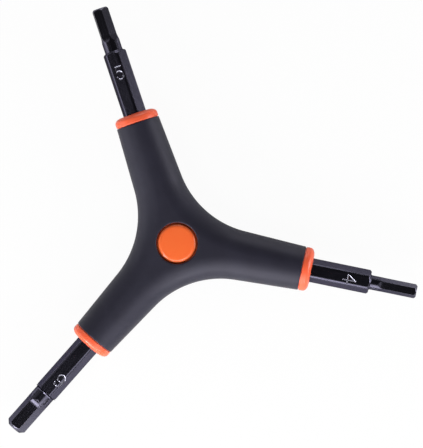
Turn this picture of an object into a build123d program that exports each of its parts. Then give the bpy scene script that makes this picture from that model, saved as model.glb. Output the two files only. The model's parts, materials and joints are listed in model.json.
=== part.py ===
from build123d import *
from dataclasses import dataclass
import math
import os

# A three-way hex key wrench lying on its back, in millimetres.
#
# Three steel hex keys stand at 120 degrees in a hard moulded core. A soft grip is moulded over the
# core, a collar is pressed on the core's end at each arm, and a round cap fills the hub on each side.
# The origin is on the resting face, under the point where the axes of the keys meet, and +Y runs
# along the 5 mm key. Each arm is modelled along +X and then turned to its place.

# Layout of the three arms, in degrees about the hub
arm_turn = 120.0
arm_angle_5 = 90.0
arm_angle_6 = arm_angle_5 + arm_turn
arm_angle_4 = arm_angle_6 + arm_turn

# Grip: its outline seen from above, its thickness and the rounding of its flanks
grip_thickness = 14.0
grip_end_reach = 40.5
grip_end_width = 14.0
grip_skin = 1.6
valley_reach = 13.65
valley_radius = 29.5
flank_radius = 6.6
flank_limit_share = 0.97

# Caps in the round pockets of the grip over the hub
cap_radius = 6.3
cap_gap = 0.35
cap_edge_radius = 1.2
pocket_edge_chamfer = 0.25
boss_radius = 3.0
boss_clearance = 0.05
boss_end_gap = 0.3
pin_radius = 1.75
pin_clearance = 0.02

# Core: web holes and ring grooves that the grip locks into, and the spigots for the collars
web_hole_radius = 1.3
ring_groove_first_reach = 20.0
ring_groove_pitch = 6.5
ring_groove_width = 2.5
ring_groove_depth = 0.5
ring_groove_count = 3
spigot_step = 0.1

# Collars at the ends of the arms: a narrow lip meets the grip, and makes a fine parting groove there
collar_gap = 0.2
collar_lip_inset = 0.35
collar_seat_clearance = 0.02
collar_length = 2.85
collar_end_wall = 1.3
collar_edge_radius = 1.8
collar_socket_clearance = 0.05
collar_key_clearance = 0.08

# Steel keys: the hexagonal bar that all three share
hexagon_sides = 6
bar_across_flats = 7.0
bar_corner_radius = 1.2
key_root_reach = 8.0
shoulder_drop = 0.15
lock_groove_setback = 2.0
lock_groove_width = 2.2
lock_groove_radius = 2.8

# Steel keys: how the working ends are turned and milled
mill_radius = 6.0
corner_break = 0.03

# The 4 mm key: reaches from the hub, and how far its bar and its tip are rolled, in degrees, with the
# top to the clockwise side. The number's middle is its setback from the shoulder towards the hub, and
# its shift from the flat's middle line to the clockwise side.
across_flats_4 = 4.0
shoulder_reach_4 = 62.6
hex_start_reach_4 = 67.2
tip_reach_4 = 77.8
tip_chamfer_4 = 0.25
bar_roll_angle_4 = 0.0
tip_roll_angle_4 = 4.0
mark_setback_4 = 6.5
mark_shift_4 = 0.4

# The 5 mm key
across_flats_5 = 5.0
shoulder_reach_5 = 64.3
hex_start_reach_5 = 70.0
tip_reach_5 = 79.0
tip_chamfer_5 = 0.35
bar_roll_angle_5 = -14.0
tip_roll_angle_5 = -20.0
mark_setback_5 = 7.0
mark_shift_5 = 0.5

# The 6 mm key
across_flats_6 = 6.0
shoulder_reach_6 = 64.0
hex_start_reach_6 = 69.6
tip_reach_6 = 79.4
tip_chamfer_6 = 0.7
bar_roll_angle_6 = 4.0
tip_roll_angle_6 = 5.5
mark_setback_6 = 6.0
mark_shift_6 = -1.25

# Size numbers stamped in the bars, which read with the tip upwards
mark_height = 4.1
mark_width = 2.15
mark_stroke = 0.36
mark_depth = 0.15
mark_root = 1.0

# One overrun for every cut that has to run past a face
overrun = 1.0

# An edge of the outline counts as level when its direction climbs by less than this share
level_share = 0.01

# Strokes of the size numbers, as shares of the number's width and height
four_line_shares = [((0.67, 0.0), (0.67, 1.0)), ((0.67, 1.0), (-0.15, 0.36)), ((-0.15, 0.36), (1.15, 0.36))]
five_line_shares = [((0.98, 1.0), (0.1, 1.0)), ((0.1, 1.0), (0.06, 0.58))]
five_arc_shares = [((0.06, 0.58), (0.62, 0.63), (1.0, 0.34)), ((1.0, 0.34), (0.5, 0.0), (0.0, 0.2))]
six_line_shares = [((0.0, 0.7), (0.0, 0.3))]
six_arc_shares = [
    ((0.0, 0.7), (0.5, 1.0), (0.97, 0.8)),
    ((0.0, 0.3), (0.5, 0.0), (1.0, 0.3)),
    ((1.0, 0.3), (0.5, 0.6), (0.0, 0.3)),
]

# Levels and reaches that follow from the sizes above
grip_middle = grip_thickness / 2
core_top = grip_thickness - grip_skin
pocket_radius = cap_radius + cap_gap
web_hole_reach = (pocket_radius + valley_reach - grip_skin) / 2
collar_start_reach = grip_end_reach + collar_gap
collar_end_reach = collar_start_reach + collar_length
core_end_reach = collar_end_reach - collar_end_wall
arm_axis = Axis((0, 0, grip_middle), (1, 0, 0))


@dataclass
class Key:
    """The sizes of one steel key, the place of its arm and the strokes of its number."""

    label: str
    angle: float
    across_flats: float
    shoulder: float
    hex_start: float
    tip: float
    tip_chamfer: float
    bar_roll: float
    tip_roll: float
    mark_setback: float
    mark_shift: float
    line_shares: list
    arc_shares: list

    @property
    def neck_radius(self):
        """The turned neck is as wide as the hexagon's corners, which have a small break."""
        return self.across_flats / math.sqrt(3) - corner_break


key_4 = Key(
    label="4",
    angle=arm_angle_4,
    across_flats=across_flats_4,
    shoulder=shoulder_reach_4,
    hex_start=hex_start_reach_4,
    tip=tip_reach_4,
    tip_chamfer=tip_chamfer_4,
    bar_roll=bar_roll_angle_4,
    tip_roll=tip_roll_angle_4,
    mark_setback=mark_setback_4,
    mark_shift=mark_shift_4,
    line_shares=four_line_shares,
    arc_shares=[],
)
key_5 = Key(
    label="5",
    angle=arm_angle_5,
    across_flats=across_flats_5,
    shoulder=shoulder_reach_5,
    hex_start=hex_start_reach_5,
    tip=tip_reach_5,
    tip_chamfer=tip_chamfer_5,
    bar_roll=bar_roll_angle_5,
    tip_roll=tip_roll_angle_5,
    mark_setback=mark_setback_5,
    mark_shift=mark_shift_5,
    line_shares=five_line_shares,
    arc_shares=five_arc_shares,
)
key_6 = Key(
    label="6",
    angle=arm_angle_6,
    across_flats=across_flats_6,
    shoulder=shoulder_reach_6,
    hex_start=hex_start_reach_6,
    tip=tip_reach_6,
    tip_chamfer=tip_chamfer_6,
    bar_roll=bar_roll_angle_6,
    tip_roll=tip_roll_angle_6,
    mark_setback=mark_setback_6,
    mark_shift=mark_shift_6,
    line_shares=six_line_shares,
    arc_shares=six_arc_shares,
)
KEYS = [key_4, key_5, key_6]


def to_arm(piece, angle):
    """Turns a piece that was modelled along +X to the arm at this angle."""
    return Rot(0, 0, angle) * piece


def turned(point, angle):
    """A point of the plan turned about the hub by an angle in degrees."""
    turn = math.radians(angle)
    x, y = point
    return (x * math.cos(turn) - y * math.sin(turn), x * math.sin(turn) + y * math.cos(turn))


def arm_plane(reach):
    """A plane across the arm at this distance from the hub, centred on the key and facing outwards."""
    return Plane(origin=(reach, 0, grip_middle), x_dir=(0, 1, 0), z_dir=(1, 0, 0))


def flank_rounding(inset):
    """The rounding of a flank this far inside the grip's surface, limited by the arm's section."""
    half_section = min(grip_thickness, grip_end_width) / 2 - inset
    return min(flank_radius - inset, flank_limit_share * half_section)


def three_arm_face(inset):
    """The plan of the grip, drawn in by an inset: tapering sides that run tangent into round valleys."""
    half_width = grip_end_width / 2 - inset
    radius = valley_radius + inset
    valley = valley_reach - inset
    centre = turned((valley + radius, 0), arm_turn / 2)
    across = (centre[0] - grip_end_reach, centre[1] - half_width)
    distance = math.hypot(*across)
    tangent_length = math.sqrt(distance**2 - radius**2)
    heading = math.atan2(across[1], across[0]) + math.asin(radius / distance)
    touch = (
        grip_end_reach + tangent_length * math.cos(heading),
        half_width + tangent_length * math.sin(heading),
    )
    edges = []
    for key in KEYS:
        low_end = turned((grip_end_reach, -half_width), key.angle)
        high_end = turned((grip_end_reach, half_width), key.angle)
        leave = turned(touch, key.angle)
        lowest = turned((valley, 0), key.angle + arm_turn / 2)
        arrive = turned((touch[0], -touch[1]), key.angle + arm_turn)
        next_end = turned((grip_end_reach, -half_width), key.angle + arm_turn)
        edges += [
            Line(low_end, high_end),
            Line(high_end, leave),
            ThreePointArc(leave, lowest, arrive),
            Line(arrive, next_end),
        ]
    return make_face(edges)


def three_arm_body(inset):
    """A three-armed body with rounded flanks, everywhere the same inset inside the grip's surface."""
    thickness = grip_thickness - 2 * inset
    slab = extrude(Pos(0, 0, inset) * three_arm_face(inset), thickness)
    arm_ends = [turned((grip_end_reach, 0), key.angle) for key in KEYS]

    def on_flank(edge):
        middle = edge.center(CenterOf.MASS)
        is_level = abs(edge.tangent_at(0).Z) < level_share
        is_outer = abs(middle.Z - grip_middle) > thickness / 4
        at_end = any(math.dist((middle.X, middle.Y), end) < grip_end_width / 4 for end in arm_ends)
        return is_level and is_outer and not at_end

    return fillet(slab.edges().filter_by(on_flank), flank_rounding(inset))


def end_section(inset):
    """The section of an arm's end, drawn in by an inset."""
    width = grip_end_width - 2 * inset
    height = grip_thickness - 2 * inset
    return RectangleRounded(width, height, flank_rounding(inset))


def core_envelope():
    """The core with its ring grooves, web holes and spigots, before the keys and the bore are cut."""
    full = three_arm_body(grip_skin)
    for key in KEYS:
        for number in range(ring_groove_count):
            middle = ring_groove_first_reach + number * ring_groove_pitch + ring_groove_width / 2
            slice_box = Box(ring_groove_width, 2 * grip_end_width, 2 * grip_thickness)
            full -= to_arm(Pos(middle, 0, grip_middle) * slice_box, key.angle)
    envelope = full + three_arm_body(grip_skin + ring_groove_depth)
    spigot_start = grip_end_reach - overrun
    for key in KEYS:
        section = arm_plane(spigot_start) * end_section(grip_skin + spigot_step)
        envelope += to_arm(extrude(section, core_end_reach - spigot_start), key.angle)
        x, y = turned((web_hole_reach, 0), key.angle + arm_turn / 2)
        envelope -= Pos(x, y, grip_middle) * Cylinder(web_hole_radius, grip_thickness)
    return envelope


def core_solid(key_solids):
    """The hard core: its envelope less the keys that it is moulded round and the bore for the boss."""
    core = core_envelope()
    for solid in key_solids:
        core -= solid
    return core - Pos(0, 0, grip_middle) * Cylinder(boss_radius + boss_clearance, grip_thickness)


def grip_solid():
    """The soft grip: the outer body less the core and a round pocket with a broken edge on each side."""
    lip_radius = pocket_radius + pocket_edge_chamfer
    half_pocket = Polyline(
        (0, grip_middle),
        (pocket_radius, grip_middle),
        (pocket_radius, grip_thickness - pocket_edge_chamfer),
        (lip_radius, grip_thickness),
        (lip_radius, grip_thickness + overrun),
        (0, grip_thickness + overrun),
        close=True,
    )
    front_pocket = revolve(Plane.XZ * make_face(half_pocket), Axis.Z)
    back_pocket = mirror(front_pocket, about=Plane.XY.offset(grip_middle))
    return three_arm_body(0) - core_envelope() - front_pocket - back_pocket


def bar_section(growth):
    """The hexagonal bar's section, flats up and down and corners rounded, grown all round."""
    hexagon = RegularPolygon(bar_across_flats / 2 + growth, hexagon_sides, major_radius=False)
    return fillet(hexagon.vertices(), bar_corner_radius + growth)


def turned_bar(start, end, full_radius, end_radius):
    """A round bar along the key's axis, whose far end has a 45 degree chamfer down to end_radius."""
    profile = Polyline(
        (start, grip_middle),
        (start, grip_middle + full_radius),
        (end - full_radius + end_radius, grip_middle + full_radius),
        (end, grip_middle + end_radius),
        (end, grip_middle),
        close=True,
    )
    return revolve(Plane.XZ * make_face(profile), arm_axis)


def flat_cutter(key):
    """What the milling cutter takes off above one flat: a straight cut that runs out in an arc."""
    flat_height = key.across_flats / 2
    cut_height = key.neck_radius - flat_height + corner_break
    swing = math.acos(1 - cut_height / mill_radius)
    run_out = mill_radius * math.sin(swing)
    floor = grip_middle + flat_height
    ceiling = floor + cut_height
    far_end = key.tip + overrun
    middle = (
        key.hex_start - mill_radius * math.sin(swing / 2),
        floor + mill_radius * (1 - math.cos(swing / 2)),
    )
    edges = [
        Line((key.hex_start, floor), (far_end, floor)),
        Line((far_end, floor), (far_end, ceiling)),
        Line((far_end, ceiling), (key.hex_start - run_out, ceiling)),
        ThreePointArc((key.hex_start - run_out, ceiling), middle, (key.hex_start, floor)),
    ]
    return extrude(Plane.XZ * make_face(edges), key.neck_radius + overrun, both=True)


def working_end(key):
    """The turned neck with its chamfered tip and the six flats milled on it."""
    end_radius = key.across_flats / 2 - key.tip_chamfer
    neck = turned_bar(key.shoulder - overrun, key.tip, key.neck_radius, end_radius)
    cutter = flat_cutter(key)
    for side in range(hexagon_sides):
        neck -= cutter.rotate(arm_axis, side * 360 / hexagon_sides)
    return neck.rotate(arm_axis, key.tip_roll)


def stamped_number(key):
    """The size number as cuts of even depth into the top of the bar, with its top towards the tip."""
    flat_top = grip_middle + bar_across_flats / 2
    middle = key.shoulder - key.mark_setback
    origin = (middle, -key.mark_shift, flat_top - mark_root)
    plane = Plane(origin=origin, x_dir=(0, -1, 0), z_dir=(0, 0, 1))
    uncut = extrude(arm_plane(middle - mark_height) * bar_section(-mark_depth), 2 * mark_height)

    def place(shares):
        return ((shares[0] - 1 / 2) * mark_width, (shares[1] - 1 / 2) * mark_height)

    strokes = [Line(*map(place, line)) for line in key.line_shares]
    strokes += [ThreePointArc(*map(place, arc)) for arc in key.arc_shares]
    return [extrude(plane * trace(stroke, mark_stroke), mark_root + overrun) - uncut for stroke in strokes]


def key_solid(key):
    """One steel key: hexagonal bar, turned shoulder, milled working end, lock groove and number."""
    bar = extrude(arm_plane(key_root_reach) * bar_section(0), key.shoulder - key_root_reach)
    corner_reach = bar_across_flats / math.sqrt(3)
    shoulder_radius = max(bar_across_flats / 2 - shoulder_drop, key.neck_radius)
    bar &= turned_bar(key_root_reach - overrun, key.shoulder, corner_reach, shoulder_radius)
    groove_plane = arm_plane(key_root_reach + lock_groove_setback)
    groove = groove_plane * (Circle(bar_across_flats) - Circle(lock_groove_radius))
    bar -= extrude(groove, lock_groove_width)
    for cut in stamped_number(key):
        bar -= cut
    return to_arm(bar.rotate(arm_axis, key.bar_roll) + working_end(key), key.angle)


def collar_solid(key):
    """A collar: a lip at the grip, a rounded outer edge, a socket for the spigot and a hole for the bar."""
    ring = extrude(arm_plane(collar_start_reach) * end_section(0), collar_length)
    ring = fillet(ring.faces().sort_by(Axis.X)[-1].edges(), collar_edge_radius)
    lip_start = grip_end_reach + collar_seat_clearance
    ring += extrude(arm_plane(lip_start) * end_section(collar_lip_inset), core_end_reach - lip_start)
    socket = end_section(grip_skin + spigot_step - collar_socket_clearance)
    socket_start = collar_start_reach - overrun
    ring -= extrude(arm_plane(socket_start) * socket, core_end_reach - socket_start)
    hole = arm_plane(core_end_reach - overrun) * bar_section(collar_key_clearance)
    ring -= extrude(hole, collar_end_wall + 2 * overrun).rotate(arm_axis, key.bar_roll)
    return to_arm(ring, key.angle)


def cap_disc():
    """A cap's disc with a rounded rim, lying on the core's upper face."""
    disc = Pos(0, 0, core_top + grip_skin / 2) * Cylinder(cap_radius, grip_skin)
    return fillet(disc.faces().sort_by(Axis.Z)[-1].edges(), cap_edge_radius)


def cap_stem(radius):
    """A round stem that hangs from the cap's disc through the core's bore."""
    length = core_top - grip_skin - boss_end_gap
    return Pos(0, 0, core_top - length / 2) * Cylinder(radius, length)


def front_cap_solid():
    """The front cap: a disc on a hollow boss that fills the core's bore."""
    return cap_disc() + (cap_stem(boss_radius) - cap_stem(pin_radius + pin_clearance))


def back_cap_solid():
    """The back cap: a disc with a pin that plugs into the front cap's boss."""
    return (cap_disc() + cap_stem(pin_radius)).rotate(arm_axis, 180)


def main():
    os.makedirs("parts", exist_ok=True)
    key_solids = [key_solid(key) for key in KEYS]
    parts = {f"hex_key_{key.label}mm": solid for key, solid in zip(KEYS, key_solids)}
    parts.update({f"end_collar_{key.label}mm": collar_solid(key) for key in KEYS})
    parts["hub_core"] = core_solid(key_solids)
    parts["grip_overmould"] = grip_solid()
    parts["front_cap"] = front_cap_solid()
    parts["back_cap"] = back_cap_solid()
    for name, shape in parts.items():
        export_step(shape, f"parts/{name}.step")


main()
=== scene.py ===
import json
import math

import bmesh
import bpy
import numpy as np
from bpy.props import CollectionProperty, FloatProperty, FloatVectorProperty
from bpy.props import PointerProperty, StringProperty
from mathutils import Matrix, Vector


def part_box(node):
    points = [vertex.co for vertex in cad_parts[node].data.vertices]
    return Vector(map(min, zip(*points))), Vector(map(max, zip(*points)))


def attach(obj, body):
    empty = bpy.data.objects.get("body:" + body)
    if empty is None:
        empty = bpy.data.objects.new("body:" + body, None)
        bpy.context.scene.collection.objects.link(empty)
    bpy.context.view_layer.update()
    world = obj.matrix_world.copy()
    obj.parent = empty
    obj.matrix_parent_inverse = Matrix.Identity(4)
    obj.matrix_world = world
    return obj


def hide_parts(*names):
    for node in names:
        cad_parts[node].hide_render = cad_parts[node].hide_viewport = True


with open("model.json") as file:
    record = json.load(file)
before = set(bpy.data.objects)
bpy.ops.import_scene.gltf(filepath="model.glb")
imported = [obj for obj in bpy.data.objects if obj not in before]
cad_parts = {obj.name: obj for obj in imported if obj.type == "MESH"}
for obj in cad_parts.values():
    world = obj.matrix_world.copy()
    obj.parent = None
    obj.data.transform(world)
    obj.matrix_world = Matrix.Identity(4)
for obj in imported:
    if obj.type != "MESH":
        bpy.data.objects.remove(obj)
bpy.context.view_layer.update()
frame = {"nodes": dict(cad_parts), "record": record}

# A three-way hex key wrench: the looks of each piece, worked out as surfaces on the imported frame.
#
# Every arm is made along +X and turned to its place. Lengths are in metres, angles in radians.

bl_info = {
    "name": "Three-way hex key wrench",
    "version": (1, 0, 0),
    "blender": (4, 5, 0),
    "location": "3D View > Sidebar > Wrench",
    "description": "Makes a soft-grip wrench with three hex keys, and a plain stage to show it on",
    "category": "Add Mesh",
}

MM = 0.001

# What the frame says: the reaches along the 5 mm arm, which points along +Y, and the heights
COLLAR_LOW, COLLAR_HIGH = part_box("end_collar_5mm")
GRIP_LOW, GRIP_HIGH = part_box("grip_overmould")
CAP_LOW, CAP_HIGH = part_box("front_cap")
KEY_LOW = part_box("hex_key_5mm")[0]
CORE_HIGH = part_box("hub_core")[1]
MIDDLE = (GRIP_LOW.z + GRIP_HIGH.z) / 2
HALF_HEIGHT = (GRIP_HIGH.z - GRIP_LOW.z) / 2
HALF_WIDTH = (COLLAR_HIGH.x - COLLAR_LOW.x) / 2
SKIN = GRIP_HIGH.z - CORE_HIGH.z
ARM_TURN = math.radians(120)
TIPS = {mount["name"]: mount["pos_m"] for mount in frame["record"]["mounts"]}


def linear(hex_colour):
    """Turns an sRGB hex colour into the linear colour that shaders and lights take."""
    shares = [int(hex_colour[i : i + 2], 16) / 255 for i in (1, 3, 5)]
    return tuple(s / 12.92 if s <= 0.04045 else ((s + 0.055) / 1.055) ** 2.4 for s in shares)


def length(name, description, default):
    """A length that a user may change."""
    return FloatProperty(
        name=name, description=description, default=default, subtype="DISTANCE", unit="LENGTH"
    )


def angle(name, description, default):
    """An angle that a user may change, given here in degrees."""
    turn = math.radians(default)
    return FloatProperty(
        name=name, description=description, default=turn, subtype="ANGLE", unit="ROTATION"
    )


def share(name, description, default):
    """A number without a unit that a user may change."""
    return FloatProperty(name=name, description=description, default=default)


def colour(name, description, default):
    """A colour that a user may change, given here as sRGB hex."""
    return FloatVectorProperty(
        name=name, description=description, default=linear(default), subtype="COLOR", size=3
    )


class GripSizes(bpy.types.PropertyGroup):
    """Sizes of the soft grip, seen from above and in its section."""

    valley_reach: length("Valley reach", "From the hub to the lowest point between two arms", 13.65 * MM)
    valley_radius: length("Valley radius", "Radius of the round valley between two arms", 29.5 * MM)
    flank_reach: length("Flank reach", "How far in from the outline the flank still slopes", 7.6 * MM)
    flank_power: share("Flank power", "2 is a round flank, more is a fuller one", 2.1)
    end_round: length("End rounding", "Rounding of the grip's edge at a collar", 0.2 * MM)
    lip_round: length("Lip rounding", "Rounding of the edge of a cap's pocket", 0.3 * MM)
    cap_gap: length("Cap gap", "Free ring between a cap and its pocket", 0.35 * MM)
    seam_height: length("Seam height", "How far the mould's parting line stands proud", 0.05 * MM)
    seam_width: length("Seam width", "Width of the mould's parting line", 0.5 * MM)


class TrimSizes(bpy.types.PropertyGroup):
    """Sizes of the collars and the caps."""

    groove: length("Parting groove", "Width of the groove between the grip and a collar", 0.2 * MM)
    lip_inset: length("Lip inset", "How far in the collar's lip lies at that groove", 0.35 * MM)
    edge_run: length("Collar edge run", "Length along the arm of a collar's rounded outer edge", 1.6 * MM)
    edge_inset: length("Collar edge inset", "How far in that rounding reaches", 2.4 * MM)
    start_round: length("Collar start rounding", "Rounding of a collar's small edges", 0.25 * MM)
    end_wall: length("Collar end wall", "Thickness of a collar round its key", 1.3 * MM)
    key_clearance: length("Key clearance", "Gap between a collar and its key", 0.08 * MM)
    cap_round: length("Cap rounding", "Rounding of a cap's rim", 1.4 * MM)
    cap_crown: length("Cap crown", "How far a cap rises from its rim to its middle", 0.1 * MM)
    boss_radius: length("Boss radius", "Radius of the front cap's boss", 3.0 * MM)
    pin_radius: length("Pin radius", "Radius of the back cap's pin", 1.75 * MM)


class BarSizes(bpy.types.PropertyGroup):
    """Sizes that the three steel keys share."""

    across_flats: length("Across flats", "Width of the hexagonal bar over its flats", 7.0 * MM)
    corner_round: length("Corner rounding", "Rounding of the bar's corners", 1.2 * MM)
    shoulder_drop: length("Shoulder drop", "How far the shoulder's chamfer cuts below a flat", 0.15 * MM)
    neck_round: length("Neck rounding", "Turned fillet where the neck meets the shoulder", 0.45 * MM)
    edge_round: length("Edge rounding", "Softening of every machined edge", 0.08 * MM)
    mill_radius: length("Mill radius", "Radius of the cutter that ran out on the neck", 6.0 * MM)
    groove_setback: length("Groove setback", "From the bar's root to the groove that locks it", 2.0 * MM)
    groove_width: length("Groove width", "Width of the locking groove", 2.2 * MM)
    groove_radius: length("Groove radius", "Radius left in the locking groove", 2.8 * MM)
    mark_height: length("Number height", "Height of a stamped number", 4.1 * MM)
    mark_width: length("Number width", "Width of a stamped number", 2.15 * MM)
    mark_stroke: length("Number stroke", "Width of a stamped stroke", 0.52 * MM)
    mark_depth: length("Number depth", "Depth of a stamped stroke", 0.14 * MM)


class KeySizes(bpy.types.PropertyGroup):
    """Sizes of one steel key."""

    name: StringProperty(name="Size", description="The number stamped on the key", default="5")
    arm: angle("Arm", "Where the key's arm points, seen from above", 90)
    across_flats: length("Across flats", "Width of the working end over its flats", 5.0 * MM)
    shoulder: length("Shoulder reach", "From the hub to the shoulder", 64.3 * MM)
    hex_start: length("Hexagon reach", "From the hub to where the hexagon is full", 70.0 * MM)
    tip_chamfer: length("Tip chamfer", "How far the tip's chamfer cuts below a flat", 0.35 * MM)
    bar_roll: angle("Bar roll", "Roll of the bar, its top to the clockwise side", -14)
    tip_roll: angle("Tip roll", "Roll of the working end, its top to the clockwise side", -20)
    mark_setback: length("Number setback", "From the shoulder to the number's middle", 7.0 * MM)
    mark_shift: length("Number shift", "From the flat's middle line to the number's", 0.5 * MM)


class Finishes(bpy.types.PropertyGroup):
    """Colours of the finishes."""

    rubber: colour("Rubber", "The grip's colour", "#1e1d29")
    rubber_dusty: colour("Dusty rubber", "The grip's colour where it is paler", "#252431")
    film: colour("Film", "The cool cast of the grip's shine", "#f0eeff")
    orange: colour("Orange", "The caps' colour", "#ff763c")
    orange_deep: colour("Deep orange", "The same plastic where it flowed last", "#ff6c36")
    coral: colour("Coral orange", "The collars' colour", "#ff6c44")
    coral_deep: colour("Deep coral orange", "The same plastic where it flowed last", "#fc623e")
    core: colour("Core", "The hard core's colour", "#e0481c")
    oxide: colour("Black oxide", "The keys' blackened steel", "#565463")
    oxide_thin: colour("Thin oxide", "Black oxide where it is thin", "#605e6e")
    oxide_edge: colour("Oxide edge-on", "The oxide's shine where it is seen edge-on", "#959595")
    # The steel colour also paints a glint into the stamped strokes
    steel: colour("Bare steel", "Steel where the oxide is gone", "#b4b4be")
    floor: colour("Floor", "The pale floor", "#f2f2f2")


# The three keys, each with the sizes in which it differs
KEY_TABLE = [
    {
        "name": "4",
        "arm": math.radians(330),
        "across_flats": 4.0 * MM,
        "shoulder": 62.6 * MM,
        "hex_start": 67.2 * MM,
        "tip_chamfer": 0.25 * MM,
        "bar_roll": math.radians(0),
        "tip_roll": math.radians(4),
        "mark_setback": 6.5 * MM,
        "mark_shift": 0.4 * MM,
    },
    {
        "name": "5",
        "arm": math.radians(90),
        "across_flats": 5.0 * MM,
        "shoulder": 64.3 * MM,
        "hex_start": 70.0 * MM,
        "tip_chamfer": 0.35 * MM,
        "bar_roll": math.radians(-14),
        "tip_roll": math.radians(-20),
        "mark_setback": 7.0 * MM,
        "mark_shift": 0.5 * MM,
    },
    {
        "name": "6",
        "arm": math.radians(210),
        "across_flats": 6.0 * MM,
        "shoulder": 64.0 * MM,
        "hex_start": 69.6 * MM,
        "tip_chamfer": 0.7 * MM,
        "bar_roll": math.radians(4),
        "tip_roll": math.radians(5.5),
        "mark_setback": 6.0 * MM,
        "mark_shift": -1.25 * MM,
    },
]

# Strokes of the numbers: lines and arcs through points, as shares of the number's width and height
STROKE_SHARES = {
    "4": [[(0.67, 0.0), (0.67, 1.0)], [(0.67, 1.0), (-0.15, 0.36)], [(-0.15, 0.36), (1.15, 0.36)]],
    "5": [
        [(0.98, 1.0), (0.1, 1.0)],
        [(0.1, 1.0), (0.06, 0.58)],
        [(0.06, 0.58), (0.62, 0.63), (1.0, 0.34)],
        [(1.0, 0.34), (0.5, 0.0), (0.0, 0.2)],
    ],
    "6": [
        [(0.0, 0.7), (0.0, 0.3)],
        [(0.0, 0.7), (0.5, 1.0), (0.97, 0.8)],
        [(0.0, 0.3), (0.5, 0.0), (1.0, 0.3)],
        [(1.0, 0.3), (0.5, 0.6), (0.0, 0.3)],
    ],
}

# How finely the surfaces are divided: the grip's outline, up its flank and over its small roundings
STRAIGHT_STEPS = 40
VALLEY_STEPS = 22
POCKET_STEPS = 18
AT_POCKET = slice(-POCKET_STEPS - 1, None)
SEAM_SHARE, SEAM_STEPS, FLANK_STEPS = 0.03, 5, 30
ROUNDING_STEPS = 6

# Round a collar and a cap, over their edges, and where rings lie on a collar's face
COLLAR_RING_STEPS = 180
CAP_RING_STEPS = 144
COLLAR_EDGE_STEPS = 10
CAP_EDGE_STEPS = 12
CAP_CROWN_STEPS = 14
FACE_SHARES = (0.5, 0.93)

# Round a key: over the flat with the number, the two beside it and the others
FLAT_STEPS = (100, 44, 24, 24, 24, 44)

# Along a key: from its root over the locking groove to the collar, the number, the chamfer, the shoulder
BAR_STEPS = (3, 2, 6, 2, 8, 20, 120, 8, 18)

# From the shoulder over the neck's fillet to the run-out, the full hexagon, the chamfer and the tip
END_STEPS = (8, 6, 80, 8, 22)
STROKE_ARC_STEPS = 16

# Points nearer than this are one, and edges sharper than this stay sharp
WELD = 0.002 * MM
SHARP_ANGLE = math.radians(38)
KEY_SHARP_ANGLE = math.radians(50)

# The stamping keeps to the top flat and its rounded edges, where the bearing's sine is over this
STAMPED_ABOVE = 0.72

# Rounding of the milled hexagon's own edges, of the rounding of the other edges
MILLED_ROUND_SHARE = 1 / 3

# Meshes


def grid_faces(rows, columns, around):
    """Quads between neighbouring rows of a grid, whose columns may close into a ring."""
    row = np.arange(rows - 1)[:, None]
    column = np.arange(columns if around else columns - 1)[None, :]
    beside = (column + 1) % columns
    corners = [row * columns + column, row * columns + beside]
    corners += [(row + 1) * columns + beside, (row + 1) * columns + column]
    spread = [np.broadcast_to(corner, (rows - 1, column.shape[1])) for corner in corners]
    return np.stack(spread, axis=-1).reshape(-1, 4)


def turned(points, turn):
    """Points turned about the hub by an angle."""
    cos, sin = math.cos(turn), math.sin(turn)
    return points @ np.array([[cos, sin, 0], [-sin, cos, 0], [0, 0, 1]])


def make_piece(name, points, faces, material, nodes, attributes=None, sharp=SHARP_ANGLE):
    """Makes a closed mesh piece of the wrench from its points and faces, in place of its CAD nodes."""
    mesh = bpy.data.meshes.new(name)
    mesh.from_pydata(points.reshape(-1, 3).tolist(), [], faces.tolist())
    for label, values in (attributes or {}).items():
        layer = mesh.attributes.new(label, "FLOAT", "POINT")
        layer.data.foreach_set("value", values.astype(np.float32).ravel())
    build = bmesh.new()
    build.from_mesh(mesh)
    bmesh.ops.remove_doubles(build, verts=build.verts, dist=WELD)
    bmesh.ops.recalc_face_normals(build, faces=build.faces)
    open_edges = sum(not edge.is_manifold for edge in build.edges)
    build.to_mesh(mesh)
    build.free()
    if open_edges:
        raise RuntimeError(f"{name} has {open_edges} open edges")
    mesh.shade_smooth()
    mesh.set_sharp_from_angle(angle=sharp)
    mesh.materials.append(material)
    piece = bpy.data.objects.new(name, mesh)
    bpy.context.scene.collection.objects.link(piece)
    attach(piece, "root")
    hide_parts(*nodes)
    return piece


def spans(*stops):
    """Stations along a line: each stop after the first is a place and the number of steps to it."""
    stations = [np.array([stops[0]])]
    for place, steps in stops[1:]:
        stations.append(np.linspace(stations[-1][-1], place, steps + 1)[1:])
    return np.concatenate(stations)


# Grip


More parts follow.
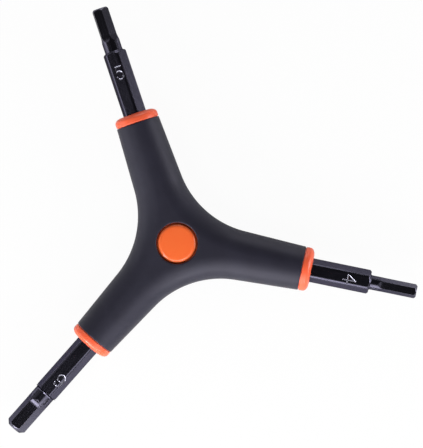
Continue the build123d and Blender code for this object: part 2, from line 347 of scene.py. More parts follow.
def valley_side(sizes, end_reach, pocket_radius):
    """Half a valley in plan, on the +Y side of an arm along +X.

    A line runs from the arm's end, tangent into an arc about a centre on the valley's middle line. It
    returns the points, the directions into the grip, which turn from square across the arm's end to
    square off the arc, the distance along each to the arm's middle line, and the distance to that line
    or, for the last points, to the pocket's circle.
    """
    radius = sizes.valley_radius
    half_turn = ARM_TURN / 2
    centre = (sizes.valley_reach + radius) * np.array([math.cos(half_turn), math.sin(half_turn)])
    end = np.array([end_reach, HALF_WIDTH])
    across = centre - end
    distance = np.hypot(*across)
    run = math.sqrt(distance**2 - radius**2)
    heading = math.atan2(across[1], across[0]) + math.asin(radius / distance)
    along = np.linspace(0, 1, STRAIGHT_STEPS)
    line = end + run * along[:, None] * np.array([math.cos(heading), math.sin(heading)])
    first = math.atan2(*(line[-1] - centre)[::-1])
    meeting = math.atan2(-centre[1], pocket_radius - centre[0])
    sweep = spans(first, (meeting, VALLEY_STEPS), (half_turn - math.pi, POCKET_STEPS))[1:]
    arc = centre + radius * np.stack([np.cos(sweep), np.sin(sweep)], axis=1)
    square = -math.pi / 2
    aim = np.concatenate([square + (first - square) * along**2 * (3 - 2 * along), sweep])
    points = np.concatenate([line, arc])
    inward = np.stack([np.cos(aim), np.sin(aim)], axis=1)
    to_middle = points[:, 1] / -inward[:, 1]
    towards = (points * inward).sum(axis=1)
    under_root = towards**2 - (points**2).sum(axis=1) + pocket_radius**2
    to_circle = -towards - np.sqrt(np.maximum(under_root, 0))
    depth = to_middle.copy()
    depth[AT_POCKET] = to_circle[AT_POCKET]
    return points, inward, to_middle, depth


def flank_patch(sizes, inset, end_reach, pocket_radius):
    """The upper half of one side of the grip, a function of the place along the outline and up the flank.

    Going in by d from the outline, the surface climbs from mid height as h * (1 - (1 - d/R)^n)^(1/n),
    where R is the flank's reach or the arm's half width, and is level after that. An inset draws it in
    all round. The outer surface also has the mould's parting line, a ridge 1 - (2z/w)^2 at mid height.
    """
    points, inward, to_middle, depth = valley_side(sizes, end_reach, pocket_radius)
    reach = np.minimum(to_middle, sizes.flank_reach)[:, None]
    slope_depth = np.minimum(depth[:, None], reach)
    last_turn = np.arccos(np.clip(1 - (slope_depth - inset) / (reach - inset), -1, 1))
    slope = reach * last_turn
    level = np.maximum(depth[:, None] - reach, 0)
    climb = spans(0, (SEAM_SHARE, SEAM_STEPS), (1, FLANK_STEPS))[None, :] * (slope + level)
    turn = np.minimum(climb, slope) / reach
    into = inset + (reach - inset) * (1 - np.cos(turn)) + np.maximum(climb - slope, 0)
    fall = np.maximum(np.cos(turn), 0) ** sizes.flank_power
    rise = (HALF_HEIGHT - inset) * (1 - fall) ** (1 / sizes.flank_power)
    if inset == 0:
        seam = np.clip(1 - (2 * rise / sizes.seam_width) ** 2, 0, 1)
        into = into - sizes.seam_height * seam
    plan = points[:, None, :] + into[..., None] * inward[:, None, :]
    return np.concatenate([plan, (MIDDLE + rise)[..., None]], axis=2)


def pocket_strip(sizes, outer, inner, pocket_radius):
    """The wall of a cap's pocket: from the grip's top over a quarter round lip to the skin's inside."""
    rim = outer[AT_POCKET, -1]
    bearing = np.arctan2(rim[:, 1], rim[:, 0])[:, None]
    bend = np.linspace(0, math.pi / 2, ROUNDING_STEPS)[None, :]
    radius = pocket_radius + sizes.lip_round * (1 - np.sin(bend))
    height = rim[:, 2:] - sizes.lip_round * (1 - np.cos(bend))
    lip = np.stack([radius * np.cos(bearing), radius * np.sin(bearing), height], axis=2)
    return np.concatenate([lip, inner[AT_POCKET, -1:]], axis=1)


def end_strip(sizes, outer, inner):
    """The grip's edge at a collar: a quarter round from outside, then straight to the skin's inside."""
    bend = np.linspace(0, math.pi / 2, ROUNDING_STEPS)[:, None]
    first = outer[0]
    draw = sizes.end_round * (1 - np.cos(bend))
    x = first[None, :, 0] + sizes.end_round * np.sin(bend)
    y = first[None, :, 1] * (1 - draw / HALF_WIDTH)
    z = MIDDLE + (first[None, :, 2] - MIDDLE) * (1 - draw / HALF_HEIGHT)
    return np.concatenate([np.stack([x, y, z], axis=2), inner[:1]], axis=0)


def make_grip(sizes, material):
    """The soft grip as one skin: twelve like patches, mirrored and turned about the hub."""
    pocket_radius = CAP_HIGH.x + sizes.cap_gap
    outer = flank_patch(sizes, 0, GRIP_HIGH.y - sizes.end_round, pocket_radius + sizes.lip_round)
    inner = flank_patch(sizes, SKIN, GRIP_HIGH.y, pocket_radius)
    pocket = pocket_strip(sizes, outer, inner, pocket_radius)
    patches = [outer, inner, pocket, end_strip(sizes, outer, inner)]
    points = []
    faces = []
    count = 0
    for arm in range(3):
        for side in (1, -1):
            for half in (1, -1):
                for patch in patches:
                    moved = patch.reshape(-1, 3) * np.array([1, side, half])
                    moved[:, 2] += MIDDLE * (1 - half)
                    points.append(turned(moved, math.pi / 2 + arm * ARM_TURN))
                    faces.append(grid_faces(*patch.shape[:2], False) + count)
                    count += len(moved)
    points = np.concatenate(points)
    faces = np.concatenate(faces)
    make_piece("grip_skin", points, faces, material, ["grip_overmould"])


# Rings and round pieces


def grip_section(bearing, inset, power):
    """Distance from an arm's axis to its outline, |y/w|^n + |z/h|^n = 1, drawn in by an inset."""
    across = np.abs(np.cos(bearing)) / (HALF_WIDTH - inset)
    up = np.abs(np.sin(bearing)) / (HALF_HEIGHT - inset)
    return (across**power + up**power) ** (-1 / power)


def hexagon(bearing, across_flats, corner_round):
    """Distance from the axis to a hexagon with a flat on top, its corners arcs tangent to the flats."""
    sector = math.pi / 3
    off_flat = (bearing - math.pi / 2 + sector / 2) % sector - sector / 2
    off_corner = sector / 2 - np.abs(off_flat)
    centre = (across_flats / 2 - corner_round) / math.cos(sector / 2)
    touch = np.arctan2(corner_round * math.sin(sector / 2), centre + corner_round * math.cos(sector / 2))
    flat = across_flats / 2 / np.cos(off_flat)
    under_root = np.maximum(corner_round**2 - (centre * np.sin(off_corner)) ** 2, 0)
    arc = centre * np.cos(off_corner) + np.sqrt(under_root)
    return np.where(off_corner < touch, arc, flat)


def make_collar(trim, grip, bar, key, material):
    """A collar: a closed profile carried round the arm, the grip's section outside and the bar's inside.

    Each ring is a reach, an inset from the grip's section and a share of the way in to the bar's hole.
    The outer edge is a quarter ellipse, and a lip stands back from the collar's start to meet the grip.
    """
    lip_start, stop = COLLAR_LOW.y, COLLAR_HIGH.y
    start = GRIP_HIGH.y + trim.groove
    bearing = np.linspace(0, 2 * math.pi, COLLAR_RING_STEPS, endpoint=False)
    hole = hexagon(bearing - key.bar_roll, bar.across_flats, bar.corner_round) + trim.key_clearance
    quarter = np.linspace(0, math.pi / 2, COLLAR_EDGE_STEPS)
    bends = [(1 - math.sin(turn), 1 - math.cos(turn)) for turn in quarter]
    small, run, inset = trim.start_round, trim.edge_run, trim.edge_inset
    last = 1 - FACE_SHARES[-1]
    rings = [(lip_start, SKIN, 0), (lip_start, trim.lip_inset, 0), (start, trim.lip_inset, 0)]
    rings += [(start + small * back, small * draw, 0) for back, draw in bends[::-1]]
    rings += [(stop - run * back, inset * draw, 0) for back, draw in bends]
    rings += [(stop, inset, face_share) for face_share in FACE_SHARES]
    rings += [(stop - small * draw, inset, 1 - last * back) for back, draw in bends]
    rings += [(stop - trim.end_wall, inset, 1), (stop - trim.end_wall, SKIN, 0)]
    rows = []
    for reach, drawn_in, inwards in rings:
        radius = (1 - inwards) * grip_section(bearing, drawn_in, grip.flank_power) + inwards * hole
        across, up = radius * np.cos(bearing), radius * np.sin(bearing)
        rows.append(np.stack([np.full_like(radius, reach), across, up], axis=1))
    points = np.array(rows + rows[:1]).reshape(-1, 3) + np.array([0, 0, MIDDLE])
    faces = grid_faces(len(rows) + 1, len(bearing), True)
    points = turned(points, key.arm)
    node = f"end_collar_{key.name}mm"
    make_piece(f"collar_{key.name}mm", points, faces, material, [node])


def make_cap(trim, name, node, stem, side, material):
    """A round cap, turned about the hub: a crowned disc with a rounded rim on a stem through the hub."""
    radius = CAP_HIGH.x
    top = CAP_HIGH.z
    flat_radius = radius - trim.cap_round
    crown = np.linspace(0, flat_radius, CAP_CROWN_STEPS)
    profile = [(out, top - trim.cap_crown * (out / flat_radius) ** 2) for out in crown]
    edge = top - trim.cap_crown
    for turn in np.linspace(0, math.pi / 2, CAP_EDGE_STEPS)[1:]:
        fall = trim.cap_round * (1 - math.cos(turn))
        profile.append((flat_radius + trim.cap_round * math.sin(turn), edge - fall))
    profile += [(radius, CORE_HIGH.z)] + stem
    out, up = np.array(profile).T[..., None]
    bearing = np.linspace(0, 2 * math.pi, CAP_RING_STEPS, endpoint=False)[None, :]
    points = np.stack([out * np.cos(bearing), out * np.sin(bearing), up + 0 * bearing], axis=2)
    points[..., 2] = MIDDLE + side * (points[..., 2] - MIDDLE)
    faces = grid_faces(len(profile), bearing.size, True)
    make_piece(name, points, faces, material, [node])


# Keys


def soft_min(first, second, width):
    """The lesser of two, with the corner between them rounded over a width."""
    share_first = np.clip(0.5 + (second - first) / (2 * width), 0, 1)
    return second + (first - second) * share_first - width * share_first * (1 - share_first)


def stroke_distance(right, up, strokes, width, height):
    """Distance from points of a flat to the nearest stroke; three points of a stroke give its arc."""
    nearest = np.full(np.broadcast(right, up).shape, np.inf)
    for stroke in strokes:
        path = (np.array(stroke) - 0.5) * np.array([width, height])
        if len(path) == 3:
            path = arc_through(path, STROKE_ARC_STEPS)
        for start, stop in zip(path[:-1], path[1:]):
            along = stop - start
            run = ((right - start[0]) * along[0] + (up - start[1]) * along[1]) / (along @ along)
            run = np.clip(run, 0, 1)
            gap = np.hypot(right - start[0] - run * along[0], up - start[1] - run * along[1])
            nearest = np.minimum(nearest, gap)
    return nearest


def arc_through(path, count):
    """Points on the arc from the first of three points through the second to the third."""
    (ax, ay), (bx, by), (cx, cy) = path
    twice = 2 * (ax * (by - cy) + bx * (cy - ay) + cx * (ay - by))
    squares = [ax * ax + ay * ay, bx * bx + by * by, cx * cx + cy * cy]
    x = (squares[0] * (by - cy) + squares[1] * (cy - ay) + squares[2] * (ay - by)) / twice
    y = (squares[0] * (cx - bx) + squares[1] * (ax - cx) + squares[2] * (bx - ax)) / twice
    turns = np.unwrap(np.arctan2(path[:, 1] - y, path[:, 0] - x))
    sweep = spans(turns[0], (turns[1], count - 1), (turns[2], count - 1))
    radius = math.hypot(ax - x, ay - y)
    return np.stack([x + radius * np.cos(sweep), y + radius * np.sin(sweep)], axis=1)


def key_bearings():
    """Bearings round a key's section, even along each flat and closest on the one with the number."""
    half_flat = math.tan(math.pi / 6)
    bearings = []
    for side, steps in enumerate(FLAT_STEPS):
        across = np.linspace(-half_flat, half_flat, steps, endpoint=False)
        bearings.append(math.pi / 2 + side * math.pi / 3 + np.arctan(across))
    return np.concatenate(bearings)


def make_key(bar, key, material):
    """A steel key as distances from its axis, a function of the reach and the bearing.

    The bar is the lesser of its hexagon and its turned outline. The working end is the lesser of the
    turned neck, the tip's chamfer and the milled hexagon, whose flats rise on the cutter's arc before it
    is full. At g from its middle a stamped stroke is (1 - (2g/w)^2)^2 of its full depth.
    """
    tip = math.hypot(*TIPS[f"hex_tip_{key.name}mm"][:2])
    root = KEY_LOW.y
    bearing = key_bearings()[None, :]
    neck_radius = key.across_flats / math.sqrt(3)
    shoulder_radius = max(bar.across_flats / 2 - bar.shoulder_drop, neck_radius)
    groove = root + bar.groove_setback
    mark = key.shoulder - key.mark_setback
    half_mark = bar.mark_height / 2 + bar.mark_stroke
    chamfer = bar.across_flats / math.sqrt(3) - shoulder_radius

    stations = (
        groove, groove + bar.edge_round, groove + bar.groove_width,
        groove + bar.groove_width + bar.edge_round, COLLAR_HIGH.y - bar.groove_width,
        mark - half_mark, mark + half_mark, key.shoulder - chamfer, key.shoulder,
    )
    bar_reach = spans(root, *zip(stations, BAR_STEPS))[:, None]
    groove_stop = groove + bar.groove_width + bar.edge_round / 2
    grooved = (bar_reach > groove) & (bar_reach < groove_stop)
    outline = np.where(grooved, bar.groove_radius, shoulder_radius + key.shoulder - bar_reach)
    shank = soft_min(hexagon(bearing, bar.across_flats, bar.corner_round), outline, bar.edge_round)
    right = -shank * np.cos(bearing)
    gap = stroke_distance(
        right - key.mark_shift, bar_reach - mark, STROKE_SHARES[key.name], bar.mark_width, bar.mark_height
    )
    on_top = np.sin(bearing) > STAMPED_ABOVE
    stamped = np.clip(1 - (2 * gap / bar.mark_stroke) ** 2, 0, 1) ** 2 * on_top
    shank = shank - bar.mark_depth * stamped

    flat = key.across_flats / 2
    run_out = math.sqrt(bar.mill_radius**2 - (bar.mill_radius - neck_radius + flat) ** 2)
    tip_zone = neck_radius - flat + key.tip_chamfer
    stations = (
        key.shoulder + bar.neck_round, key.hex_start - run_out - bar.neck_round, key.hex_start,
        tip - tip_zone - bar.neck_round, tip,
    )
    end_reach = spans(key.shoulder, *zip(stations, END_STEPS))[:, None]
    fillet_run = np.clip(bar.neck_round - (end_reach - key.shoulder), 0, bar.neck_round)
    neck = neck_radius + bar.neck_round - np.sqrt(bar.neck_round**2 - fillet_run**2)
    before = np.clip(key.hex_start - end_reach, 0, bar.mill_radius)
    lift = bar.mill_radius - np.sqrt(bar.mill_radius**2 - before**2)
    milled = hexagon(bearing, key.across_flats + 2 * lift, bar.edge_round)
    ending = flat - key.tip_chamfer + tip - end_reach
    end = soft_min(neck, milled, bar.edge_round * MILLED_ROUND_SHARE)
    end = soft_min(end, ending, bar.edge_round)

    # The two lengths in one, closed by a point on the axis at the root and at the tip
    on_axis = 0 * bearing
    reach = np.concatenate([[[root]], bar_reach, end_reach, [[tip]]])
    radius = np.concatenate([on_axis, shank, end, on_axis])
    stamped = np.concatenate([on_axis, stamped, 0 * end, on_axis])
    roll = np.where(np.arange(len(reach)) <= len(shank), key.bar_roll, key.tip_roll)[:, None]
    x = reach + 0 * radius
    across, up = radius * np.cos(bearing + roll), radius * np.sin(bearing + roll)
    points = np.stack([x, across, MIDDLE + up], axis=2)
    worn = np.clip((x - key.shoulder) / (tip - key.shoulder), 0, 1)
    attributes = {
        "stamped": stamped,
        "worn": worn,
        "reach_mm": x / MM,
        "round_mm": (bearing - math.pi / 2) * flat / MM + 0 * radius,
    }
    faces = grid_faces(len(reach), bearing.size, True)
    points = turned(points.reshape(-1, 3), key.arm)
    name, node = f"steel_key_{key.name}mm", f"hex_key_{key.name}mm"
    make_piece(name, points, faces, material, [node], attributes, KEY_SHARP_ANGLE)


# Materials

# Sizes of the patterns. The grain stands for one of 0.05 mm and the draw lines for ones a few hundredths
# apart, both too fine to show, so they are drawn coarser. The others are as on the real thing.
RUBBER_GRAIN = 0.45 * MM
RUBBER_DUST = 9 * MM
FLOW_STREAK = 5 * MM
MOULD_PEEL = 0.7 * MM
FIBRE_MOTTLE = 0.8 * MM
PAPER_FIBRE = 1.5 * MM
BUMP_HEIGHT = 0.02 * MM
DRAW_LINE_HEIGHT = 0.012 * MM
DRAW_LINES_PER_MM = (1 / 6, 1 / 0.35, 1)
OXIDE_PATCHES_PER_MM = 0.45

# How the surfaces shine, and how strongly their patterns are felt
RUBBER_IOR = 1.5
PLASTIC_IOR = 1.53
CORE_ROUGHNESS = 0.6
RUBBER_ROUGHNESS = (0.42, 0.54)
SATIN_ROUGHNESS = (0.28, 0.38)
GLOSS_ROUGHNESS = (0.13, 0.2)
STEEL_ROUGHNESS = (0.16, 0.28)
RUBBER_BUMP_SHARE = 0.35
PEEL_BUMP_SHARE = 0.06
FIBRE_BUMP_SHARE = 0.3
DRAW_LINE_BUMP_SHARE = 0.25
PAPER_BUMP_SHARE = 0.1

# How much of the steel colour goes in: in the stamping as a painted glint, at the tip as wear; and how
# much smoother it is there
STAMPED_GLINT_SHARE = 0.4
TIP_BARE_SHARE = 0.13
TIP_ROUGHNESS_CHANGE = -0.08


def add_node(tree, kind, inputs=None, **settings):
    """Adds a node with its settings; each input is a value, or another node's output to link to."""
    node = tree.nodes.new(kind)
    for name, value in settings.items():
        setattr(node, name, value)
    for name, value in (inputs or {}).items():
        if isinstance(value, bpy.types.NodeSocket):
            tree.links.new(value, node.inputs[name])
        else:
            node.inputs[name].default_value = value
    return node


def new_material(name):
    """An empty node material and its tree."""
    material = bpy.data.materials.new(name)
    material.use_nodes = True
    material.node_tree.nodes.clear()
    return material, material.node_tree


def per_metre(size):
    """The scale at which a texture on Object coordinates repeats once over a real size."""
    return 1 / size


def opaque(tone):
    """A colour with the full alpha that a colour socket takes."""
    return (*tone, 1)


def end_plastic(material, pattern, bump_share, inputs):
    """Ends the tree of a moulded plastic: a bump from its pattern, the shader and the output."""
    tree = material.node_tree
    bump = add_node(
        tree, "ShaderNodeBump",
        {"Strength": bump_share, "Distance": BUMP_HEIGHT, "Height": pattern.outputs["Fac"]},
    )
    inputs = inputs | {"Normal": bump.outputs["Normal"], "Metallic": 0.0}
    shader = add_node(tree, "ShaderNodeBsdfPrincipled", inputs)
    add_node(tree, "ShaderNodeOutputMaterial", {"Surface": shader.outputs["BSDF"]})
    return material


def rubber_material(finishes):
    """Thermoplastic rubber, moulded in a spark-eroded tool: matte grain, broad highlights, dusty film."""
    material, tree = new_material("thermoplastic_rubber_moulded_matte")
    place = add_node(tree, "ShaderNodeTexCoord").outputs["Object"]
    grain = add_node(
        tree, "ShaderNodeTexNoise",
        {"Vector": place, "Scale": per_metre(RUBBER_GRAIN), "Detail": 3.0, "Roughness": 0.6},
    )
    film = add_node(
        tree, "ShaderNodeTexNoise",
        {"Vector": place, "Scale": per_metre(RUBBER_DUST), "Detail": 4.0, "Roughness": 0.55},
    )
    shade = add_node(
        tree, "ShaderNodeMapRange",
        {"Value": film.outputs["Fac"], "From Min": 0.35, "From Max": 0.7},
    )
    tone = add_node(
        tree, "ShaderNodeMix",
        {
            "Factor": shade.outputs["Result"],
            "A": opaque(finishes.rubber),
            "B": opaque(finishes.rubber_dusty),
        },
        data_type="RGBA",
    )
    gloss = add_node(
        tree, "ShaderNodeMapRange",
        {
            "Value": grain.outputs["Fac"],
            "From Min": 0.3,
            "From Max": 0.7,
            "To Min": RUBBER_ROUGHNESS[0],
            "To Max": RUBBER_ROUGHNESS[1],
        },
    )
    inputs = {
        "Base Color": tone.outputs["Result"],
        "Roughness": gloss.outputs["Result"],
        "IOR": RUBBER_IOR,
        "Specular Tint": opaque(finishes.film),
    }
    return end_plastic(material, grain, RUBBER_BUMP_SHARE, inputs)


def orange_material(name, tones, roughness):
    """ABS, injection moulded: even colour, faint flow streaks and orange peel, as glossy as its tool."""
    material, tree = new_material(name)
    place = add_node(tree, "ShaderNodeTexCoord").outputs["Object"]
    flow = add_node(
        tree, "ShaderNodeTexNoise",
        {"Vector": place, "Scale": per_metre(FLOW_STREAK), "Detail": 2.0, "Distortion": 0.6},
    )
    peel = add_node(
        tree, "ShaderNodeTexNoise", {"Vector": place, "Scale": per_metre(MOULD_PEEL), "Detail": 2.0}
    )
    tone = add_node(
        tree, "ShaderNodeMix",
        {"Factor": flow.outputs["Fac"], "A": opaque(tones[0]), "B": opaque(tones[1])},
        data_type="RGBA",
    )
    gloss = add_node(
        tree, "ShaderNodeMapRange",
        {"Value": peel.outputs["Fac"], "To Min": roughness[0], "To Max": roughness[1]},
    )
    inputs = {
        "Base Color": tone.outputs["Result"],
        "Roughness": gloss.outputs["Result"],
        "IOR": PLASTIC_IOR,
    }
    return end_plastic(material, peel, PEEL_BUMP_SHARE, inputs)


def core_material(finishes):
    """Glass-filled nylon, moulded: dull, with the mottle that the fibres leave at the surface."""
    material, tree = new_material("glass_filled_nylon_moulded")
    place = add_node(tree, "ShaderNodeTexCoord").outputs["Object"]
    fibre = add_node(
        tree, "ShaderNodeTexNoise", {"Vector": place, "Scale": per_metre(FIBRE_MOTTLE), "Detail": 4.0}
    )
    tone = add_node(
        tree, "ShaderNodeMix",
        {
            "Factor": fibre.outputs["Fac"],
            "A": opaque(finishes.core),
            "B": opaque(finishes.orange_deep),
        },
        data_type="RGBA",
    )
    inputs = {
        "Base Color": tone.outputs["Result"],
        "Roughness": CORE_ROUGHNESS,
        "IOR": PLASTIC_IOR,
    }
    return end_plastic(material, fibre, FIBRE_BUMP_SHARE, inputs)


def steel_material(finishes):
    """Tool steel, machined and black oxided: near black with an oily satin shine.

    Steel colour in the stamping paints a glint; the oxide is a little thinner and smoother towards the
    tip, which wears.
    """
    material, tree = new_material("tool_steel_black_oxide_satin")
    reach = add_node(tree, "ShaderNodeAttribute", attribute_name="reach_mm").outputs["Fac"]
    around = add_node(tree, "ShaderNodeAttribute", attribute_name="round_mm").outputs["Fac"]
    stamped = add_node(tree, "ShaderNodeAttribute", attribute_name="stamped").outputs["Fac"]
    worn = add_node(tree, "ShaderNodeAttribute", attribute_name="worn").outputs["Fac"]
    place = add_node(tree, "ShaderNodeCombineXYZ", {"X": reach, "Y": around}).outputs["Vector"]
    drawn = add_node(tree, "ShaderNodeMapping", {"Vector": place, "Scale": DRAW_LINES_PER_MM})
    lines = add_node(
        tree, "ShaderNodeTexNoise", {"Vector": drawn.outputs["Vector"], "Scale": 1.0, "Detail": 3.0}
    )
    patches = add_node(
        tree, "ShaderNodeTexNoise", {"Vector": place, "Scale": OXIDE_PATCHES_PER_MM, "Detail": 4.0}
    )
    oxide = add_node(
        tree, "ShaderNodeMix",
        {
            "Factor": patches.outputs["Fac"],
            "A": opaque(finishes.oxide),
            "B": opaque(finishes.oxide_thin),
        },
        data_type="RGBA",
    )
    # The stamped strokes take the steel colour as a painted glint, brighter than their oxide
    stamped_glint = add_node(
        tree, "ShaderNodeMapRange",
        {"Value": stamped, "From Min": 0.05, "From Max": 0.45, "To Max": STAMPED_GLINT_SHARE},
    )
    # Tip wear added to the stamped strokes' painted glint
    thin = add_node(
        tree, "ShaderNodeMath", {0: worn, 1: TIP_BARE_SHARE, 2: stamped_glint.outputs["Result"]},
        operation="MULTIPLY_ADD",
    )
    tone = add_node(
        tree, "ShaderNodeMix",
        {
            "Factor": thin.outputs["Value"],
            "A": oxide.outputs["Result"],
            "B": opaque(finishes.steel),
        },
        data_type="RGBA",
    )
    rough = add_node(
        tree, "ShaderNodeMapRange",
        {"Value": lines.outputs["Fac"], "To Min": STEEL_ROUGHNESS[0], "To Max": STEEL_ROUGHNESS[1]},
    )
    smoother = add_node(
        tree, "ShaderNodeMath", {0: worn, 1: TIP_ROUGHNESS_CHANGE, 2: rough.outputs["Result"]},
        operation="MULTIPLY_ADD",
    )
    bump = add_node(
        tree, "ShaderNodeBump",
        {
            "Strength": DRAW_LINE_BUMP_SHARE,
            "Distance": DRAW_LINE_HEIGHT,
            "Height": lines.outputs["Fac"],
        },
    )
    shader = add_node(
        tree, "ShaderNodeBsdfPrincipled",
        {
            "Base Color": tone.outputs["Result"],
            "Metallic": 1.0,
            "Specular Tint": opaque(finishes.oxide_edge),
            "Roughness": smoother.outputs["Value"],
            "Normal": bump.outputs["Normal"],
        },
    )
    add_node(tree, "ShaderNodeOutputMaterial", {"Surface": shader.outputs["BSDF"]})
    return material


def shown_white(tree, seen_share, gloss_share):
    """How much of plain white shows: one share to the camera, another off a gloss or through a glass."""
    path = add_node(tree, "ShaderNodeLightPath").outputs
    gloss = add_node(
        tree, "ShaderNodeMath", {0: path["Is Glossy Ray"], 1: path["Is Transmission Ray"]},
        operation="MAXIMUM",
    )
    shown = add_node(
        tree, "ShaderNodeMath", {0: gloss.outputs["Value"], 1: gloss_share}, operation="MULTIPLY"
    )
    seen = add_node(
        tree, "ShaderNodeMath", {0: path["Is Camera Ray"], 1: seen_share}, operation="MULTIPLY"
    )
    most = add_node(
        tree, "ShaderNodeMath", {0: shown.outputs["Value"], 1: seen.outputs["Value"]},
        operation="MAXIMUM",
    )
    return most.outputs["Value"]


def floor_material(finishes):
    """Matt white paper that shows nearly white, with the share of its shading that keeps a soft shadow."""
    material, tree = new_material("matt_white_paper")
    place = add_node(tree, "ShaderNodeTexCoord").outputs["Object"]
    fibre = add_node(
        tree, "ShaderNodeTexNoise", {"Vector": place, "Scale": per_metre(PAPER_FIBRE), "Detail": 3.0}
    )
    bump = add_node(
        tree, "ShaderNodeBump",
        {"Strength": PAPER_BUMP_SHARE, "Distance": BUMP_HEIGHT, "Height": fibre.outputs["Fac"]},
    )
    paper = add_node(
        tree, "ShaderNodeBsdfDiffuse",
        {"Color": opaque(finishes.floor), "Normal": bump.outputs["Normal"]},
    )
    white = add_node(tree, "ShaderNodeEmission", {"Color": (1, 1, 1, 1), "Strength": 1.0})
    shown = shown_white(tree, FLOOR_SEEN_SHARE, FLOOR_GLOSS_SHARE)
    mix = add_node(
        tree, "ShaderNodeMixShader", {0: shown, 1: paper.outputs["BSDF"], 2: white.outputs["Emission"]}
    )
    add_node(tree, "ShaderNodeOutputMaterial", {"Surface": mix.outputs["Shader"]})
    return material


# Stage

# How the photograph was taken: the picture's frame, its scale and where the wrench lies in it
PICTURE_WIDTH_PIXELS = 423
PICTURE_HEIGHT_PIXELS = 448
CROSSING_PIXELS = (177.87, 242.9)
PIXELS_PER_MM = 3.13
PICTURE_TURN = math.radians(18.5)
CAMERA_HEIGHT = 1.3
CAMERA_LEAN = math.radians(3.08)
CAMERA_LEAN_BEARING = math.radians(25)
SENSOR_WIDTH = 36 * MM

# Brightness of the surroundings overhead and along the horizon, as shares of plain white
WORLD_SHARE = 0.03
HORIZON_SHARE = 0.18
HORIZON_TOP = math.sin(math.radians(22))
HORIZON_BLUR = math.sin(math.radians(8))

# The lamps: bearing in the picture, climb, width, and the share of plain white each gives a level card
LAMPS = [
    {"name": "main_lamp", "bearing": 270, "climb": 36, "width": 0.3, "share": 0.2},
    {"name": "left_front_spot", "bearing": 225, "climb": 20, "width": 0.12, "share": 0.19},
    {"name": "right_lamp", "bearing": 3, "climb": 15, "width": 0.25, "share": 0.16},
    {"name": "high_spot", "bearing": 219, "climb": 56, "width": 0.12, "share": 0.11},
    {"name": "high_front_lamp", "bearing": 302, "climb": 46, "width": 0.28, "share": 0.1},
    {"name": "low_front_lamp", "bearing": 247, "climb": 14, "width": 0.25, "share": 0.08},
    {"name": "back_lamp", "bearing": 90, "climb": 14, "width": 0.25, "share": 0.06},
    {"name": "front_spot", "bearing": 290, "climb": 18, "width": 0.09, "share": 0.06},
    {"name": "left_lamp", "bearing": 180, "climb": 14, "width": 0.25, "share": 0.03},
    {"name": "left_back_lamp", "bearing": 135, "climb": 36, "width": 0.25, "share": 0.02},
]
LAMP_DISTANCE = 0.45

# How much of plain white the floor and the surroundings show, straight to the camera and off a gloss
FLOOR_SEEN_SHARE = 0.95
FLOOR_GLOSS_SHARE = 0.05
WORLD_SEEN_SHARE = 1.0
FLOOR_RADIUS = 2.0
FLOOR_SIDES = 96


def picture_bearing(bearing):
    """A direction along the floor from its bearing in the picture, in which the wrench lies turned."""
    own = bearing - PICTURE_TURN
    return Vector((math.cos(own), math.sin(own), 0))


def look_from(place, aim, upwards):
    """The matrix of a camera or lamp at a place that looks at a point, with a direction for its top."""
    back = (place - aim).normalized()
    right = upwards.cross(back).normalized()
    turn = Matrix((right, back.cross(right), back)).transposed()
    return Matrix.Translation(place) @ turn.to_4x4()


def make_camera():
    """The camera of the photograph: far off, nearly overhead, leaning a little to the picture's right."""
    scene = bpy.context.scene
    camera = bpy.data.cameras.new("camera")
    camera.sensor_width = SENSOR_WIDTH / MM
    camera.lens = SENSOR_WIDTH / MM * PIXELS_PER_MM * CAMERA_HEIGHT / MM / PICTURE_HEIGHT_PIXELS
    crossing = Vector((0, 0, MIDDLE))
    right, up = picture_bearing(0), picture_bearing(math.pi / 2)
    aside = (PICTURE_WIDTH_PIXELS / 2 - CROSSING_PIXELS[0]) / PIXELS_PER_MM * MM
    above = (CROSSING_PIXELS[1] - PICTURE_HEIGHT_PIXELS / 2) / PIXELS_PER_MM * MM
    aim = crossing + aside * right + above * up
    lean = CAMERA_HEIGHT * math.tan(CAMERA_LEAN) * picture_bearing(CAMERA_LEAN_BEARING)
    place = crossing + lean + Vector((0, 0, CAMERA_HEIGHT))
    viewer = bpy.data.objects.new("camera", camera)
    viewer.matrix_world = look_from(place, aim, up)
    scene.collection.objects.link(viewer)
    scene.camera = viewer


def make_lamp(lamp):
    """A soft square lamp that gives a level white card its share of plain white."""
    light = bpy.data.lights.new(lamp["name"], "AREA")
    light.shape = "SQUARE"
    light.size = lamp["width"]
    climb = math.radians(lamp["climb"])
    light.energy = lamp["share"] * math.pi**2 * LAMP_DISTANCE**2 / math.sin(climb)
    level = picture_bearing(math.radians(lamp["bearing"]))
    towards = level * math.cos(climb) + Vector((0, 0, math.sin(climb)))
    holder = bpy.data.objects.new(lamp["name"], light)
    holder.matrix_world = look_from(towards * LAMP_DISTANCE, Vector((0, 0, MIDDLE)), Vector((0, 0, 1)))
    holder.visible_camera = False
    bpy.context.scene.collection.objects.link(holder)


def make_world():
    """Soft surroundings that show as white and light the wrench more from the horizon than from above."""
    world = bpy.data.worlds.new("surroundings")
    world.use_nodes = True
    tree = world.node_tree
    tree.nodes.clear()
    towards = add_node(tree, "ShaderNodeTexCoord").outputs["Generated"]
    height = add_node(tree, "ShaderNodeSeparateXYZ", {"Vector": towards}).outputs["Z"]
    around = add_node(
        tree, "ShaderNodeMapRange",
        {
            "Value": height,
            "From Min": HORIZON_TOP,
            "From Max": HORIZON_TOP + HORIZON_BLUR,
            "To Min": HORIZON_SHARE,
            "To Max": WORLD_SHARE,
        },
    )
    shown = shown_white(tree, WORLD_SEEN_SHARE, WORLD_SHARE)
    strength = add_node(
        tree, "ShaderNodeMath", {0: shown, 1: around.outputs["Result"]}, operation="MAXIMUM"
    )
    light = add_node(
        tree, "ShaderNodeBackground", {"Color": (1, 1, 1, 1), "Strength": strength.outputs["Value"]}
    )
    add_node(tree, "ShaderNodeOutputWorld", {"Surface": light.outputs["Background"]})
    bpy.context.scene.world = world


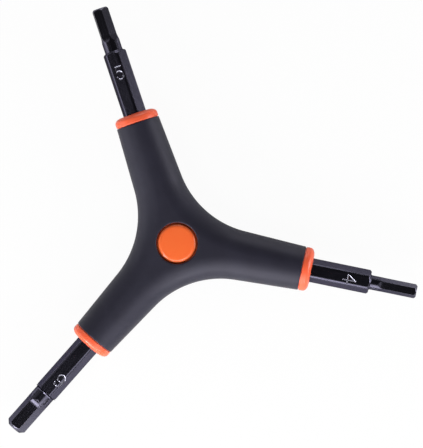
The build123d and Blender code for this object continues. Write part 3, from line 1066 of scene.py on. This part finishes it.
def make_floor(finishes):
    """A round sheet of white paper under the wrench."""
    bearing = np.linspace(0, 2 * math.pi, FLOOR_SIDES, endpoint=False)
    points = FLOOR_RADIUS * np.stack([np.cos(bearing), np.sin(bearing), 0 * bearing], axis=1)
    mesh = bpy.data.meshes.new("floor")
    mesh.from_pydata(points.tolist(), [], [list(range(len(points)))])
    mesh.materials.append(floor_material(finishes))
    floor = bpy.data.objects.new("floor", mesh)
    bpy.context.scene.collection.objects.link(floor)


# Operators


class WRENCH_OT_grip(bpy.types.Operator):
    """Make the soft grip over the hub and the three arms"""

    bl_idname = "wrench.grip"
    bl_label = "Soft grip"

    def execute(self, context):
        scene = context.scene
        make_grip(scene.wrench_grip, rubber_material(scene.wrench_finishes))
        return {"FINISHED"}


class WRENCH_OT_trim(bpy.types.Operator):
    """Make the orange collars and caps, and give the hard core its finish"""

    bl_idname = "wrench.trim"
    bl_label = "Collars and caps"

    def execute(self, context):
        scene = context.scene
        trim = scene.wrench_trim
        finishes = scene.wrench_finishes
        coral = (finishes.coral, finishes.coral_deep)
        orange = (finishes.orange, finishes.orange_deep)
        satin = orange_material("abs_moulded_satin", coral, SATIN_ROUGHNESS)
        glossy = orange_material("abs_moulded_gloss", orange, GLOSS_ROUGHNESS)
        for key in scene.wrench_keys:
            make_collar(trim, scene.wrench_grip, scene.wrench_bar, key, satin)
        boss = [
            (trim.boss_radius, CORE_HIGH.z), (trim.boss_radius, CAP_LOW.z), (trim.pin_radius, CAP_LOW.z),
            (trim.pin_radius, CORE_HIGH.z), (0, CORE_HIGH.z),
        ]
        pin = [(trim.pin_radius, CORE_HIGH.z), (trim.pin_radius, CAP_LOW.z), (0, CAP_LOW.z)]
        make_cap(trim, "cap_front", "front_cap", boss, 1, glossy)
        make_cap(trim, "cap_back", "back_cap", pin, -1, glossy)
        core = frame["nodes"]["hub_core"]
        core.data.materials.clear()
        core.data.materials.append(core_material(finishes))
        return {"FINISHED"}


class WRENCH_OT_keys(bpy.types.Operator):
    """Make the three steel hex keys with their stamped numbers"""

    bl_idname = "wrench.keys"
    bl_label = "Steel keys"

    def execute(self, context):
        scene = context.scene
        material = steel_material(scene.wrench_finishes)
        for key in scene.wrench_keys:
            make_key(scene.wrench_bar, key, material)
        return {"FINISHED"}


class WRENCH_OT_stage(bpy.types.Operator):
    """Make the floor, the lamps, the surroundings and the camera"""

    bl_idname = "wrench.stage"
    bl_label = "Stage"

    def execute(self, context):
        make_floor(context.scene.wrench_finishes)
        make_world()
        for lamp in LAMPS:
            make_lamp(lamp)
        make_camera()
        context.scene.view_settings.view_transform = "Standard"
        return {"FINISHED"}


class WRENCH_PT_panel(bpy.types.Panel):
    """Lists what makes the wrench"""

    bl_idname = "WRENCH_PT_panel"
    bl_label = "Hex key wrench"
    bl_space_type = "VIEW_3D"
    bl_region_type = "UI"
    bl_category = "Wrench"

    def draw(self, context):
        for operator in OPERATORS:
            self.layout.operator(operator.bl_idname)


GROUPS = (GripSizes, TrimSizes, BarSizes, KeySizes, Finishes)
OPERATORS = (WRENCH_OT_grip, WRENCH_OT_trim, WRENCH_OT_keys, WRENCH_OT_stage)
CLASSES = GROUPS + OPERATORS + (WRENCH_PT_panel,)
PROPERTIES = {
    "wrench_grip": PointerProperty(type=GripSizes),
    "wrench_trim": PointerProperty(type=TrimSizes),
    "wrench_bar": PointerProperty(type=BarSizes),
    "wrench_keys": CollectionProperty(type=KeySizes),
    "wrench_finishes": PointerProperty(type=Finishes),
}


def register():
    """Adds the classes, and the sizes and finishes to the scene."""
    for each in CLASSES:
        bpy.utils.register_class(each)
    for name, value in PROPERTIES.items():
        setattr(bpy.types.Scene, name, value)


def unregister():
    """Takes away what register added."""
    for name in PROPERTIES:
        delattr(bpy.types.Scene, name)
    for each in reversed(CLASSES):
        bpy.utils.unregister_class(each)


def main():
    """Makes the wrench and its stage."""
    register()
    for sizes in KEY_TABLE:
        key = bpy.context.scene.wrench_keys.add()
        for name, value in sizes.items():
            setattr(key, name, value)
    bpy.ops.wrench.grip()
    bpy.ops.wrench.trim()
    bpy.ops.wrench.keys()
    bpy.ops.wrench.stage()


if __name__ == "__main__":
    main()
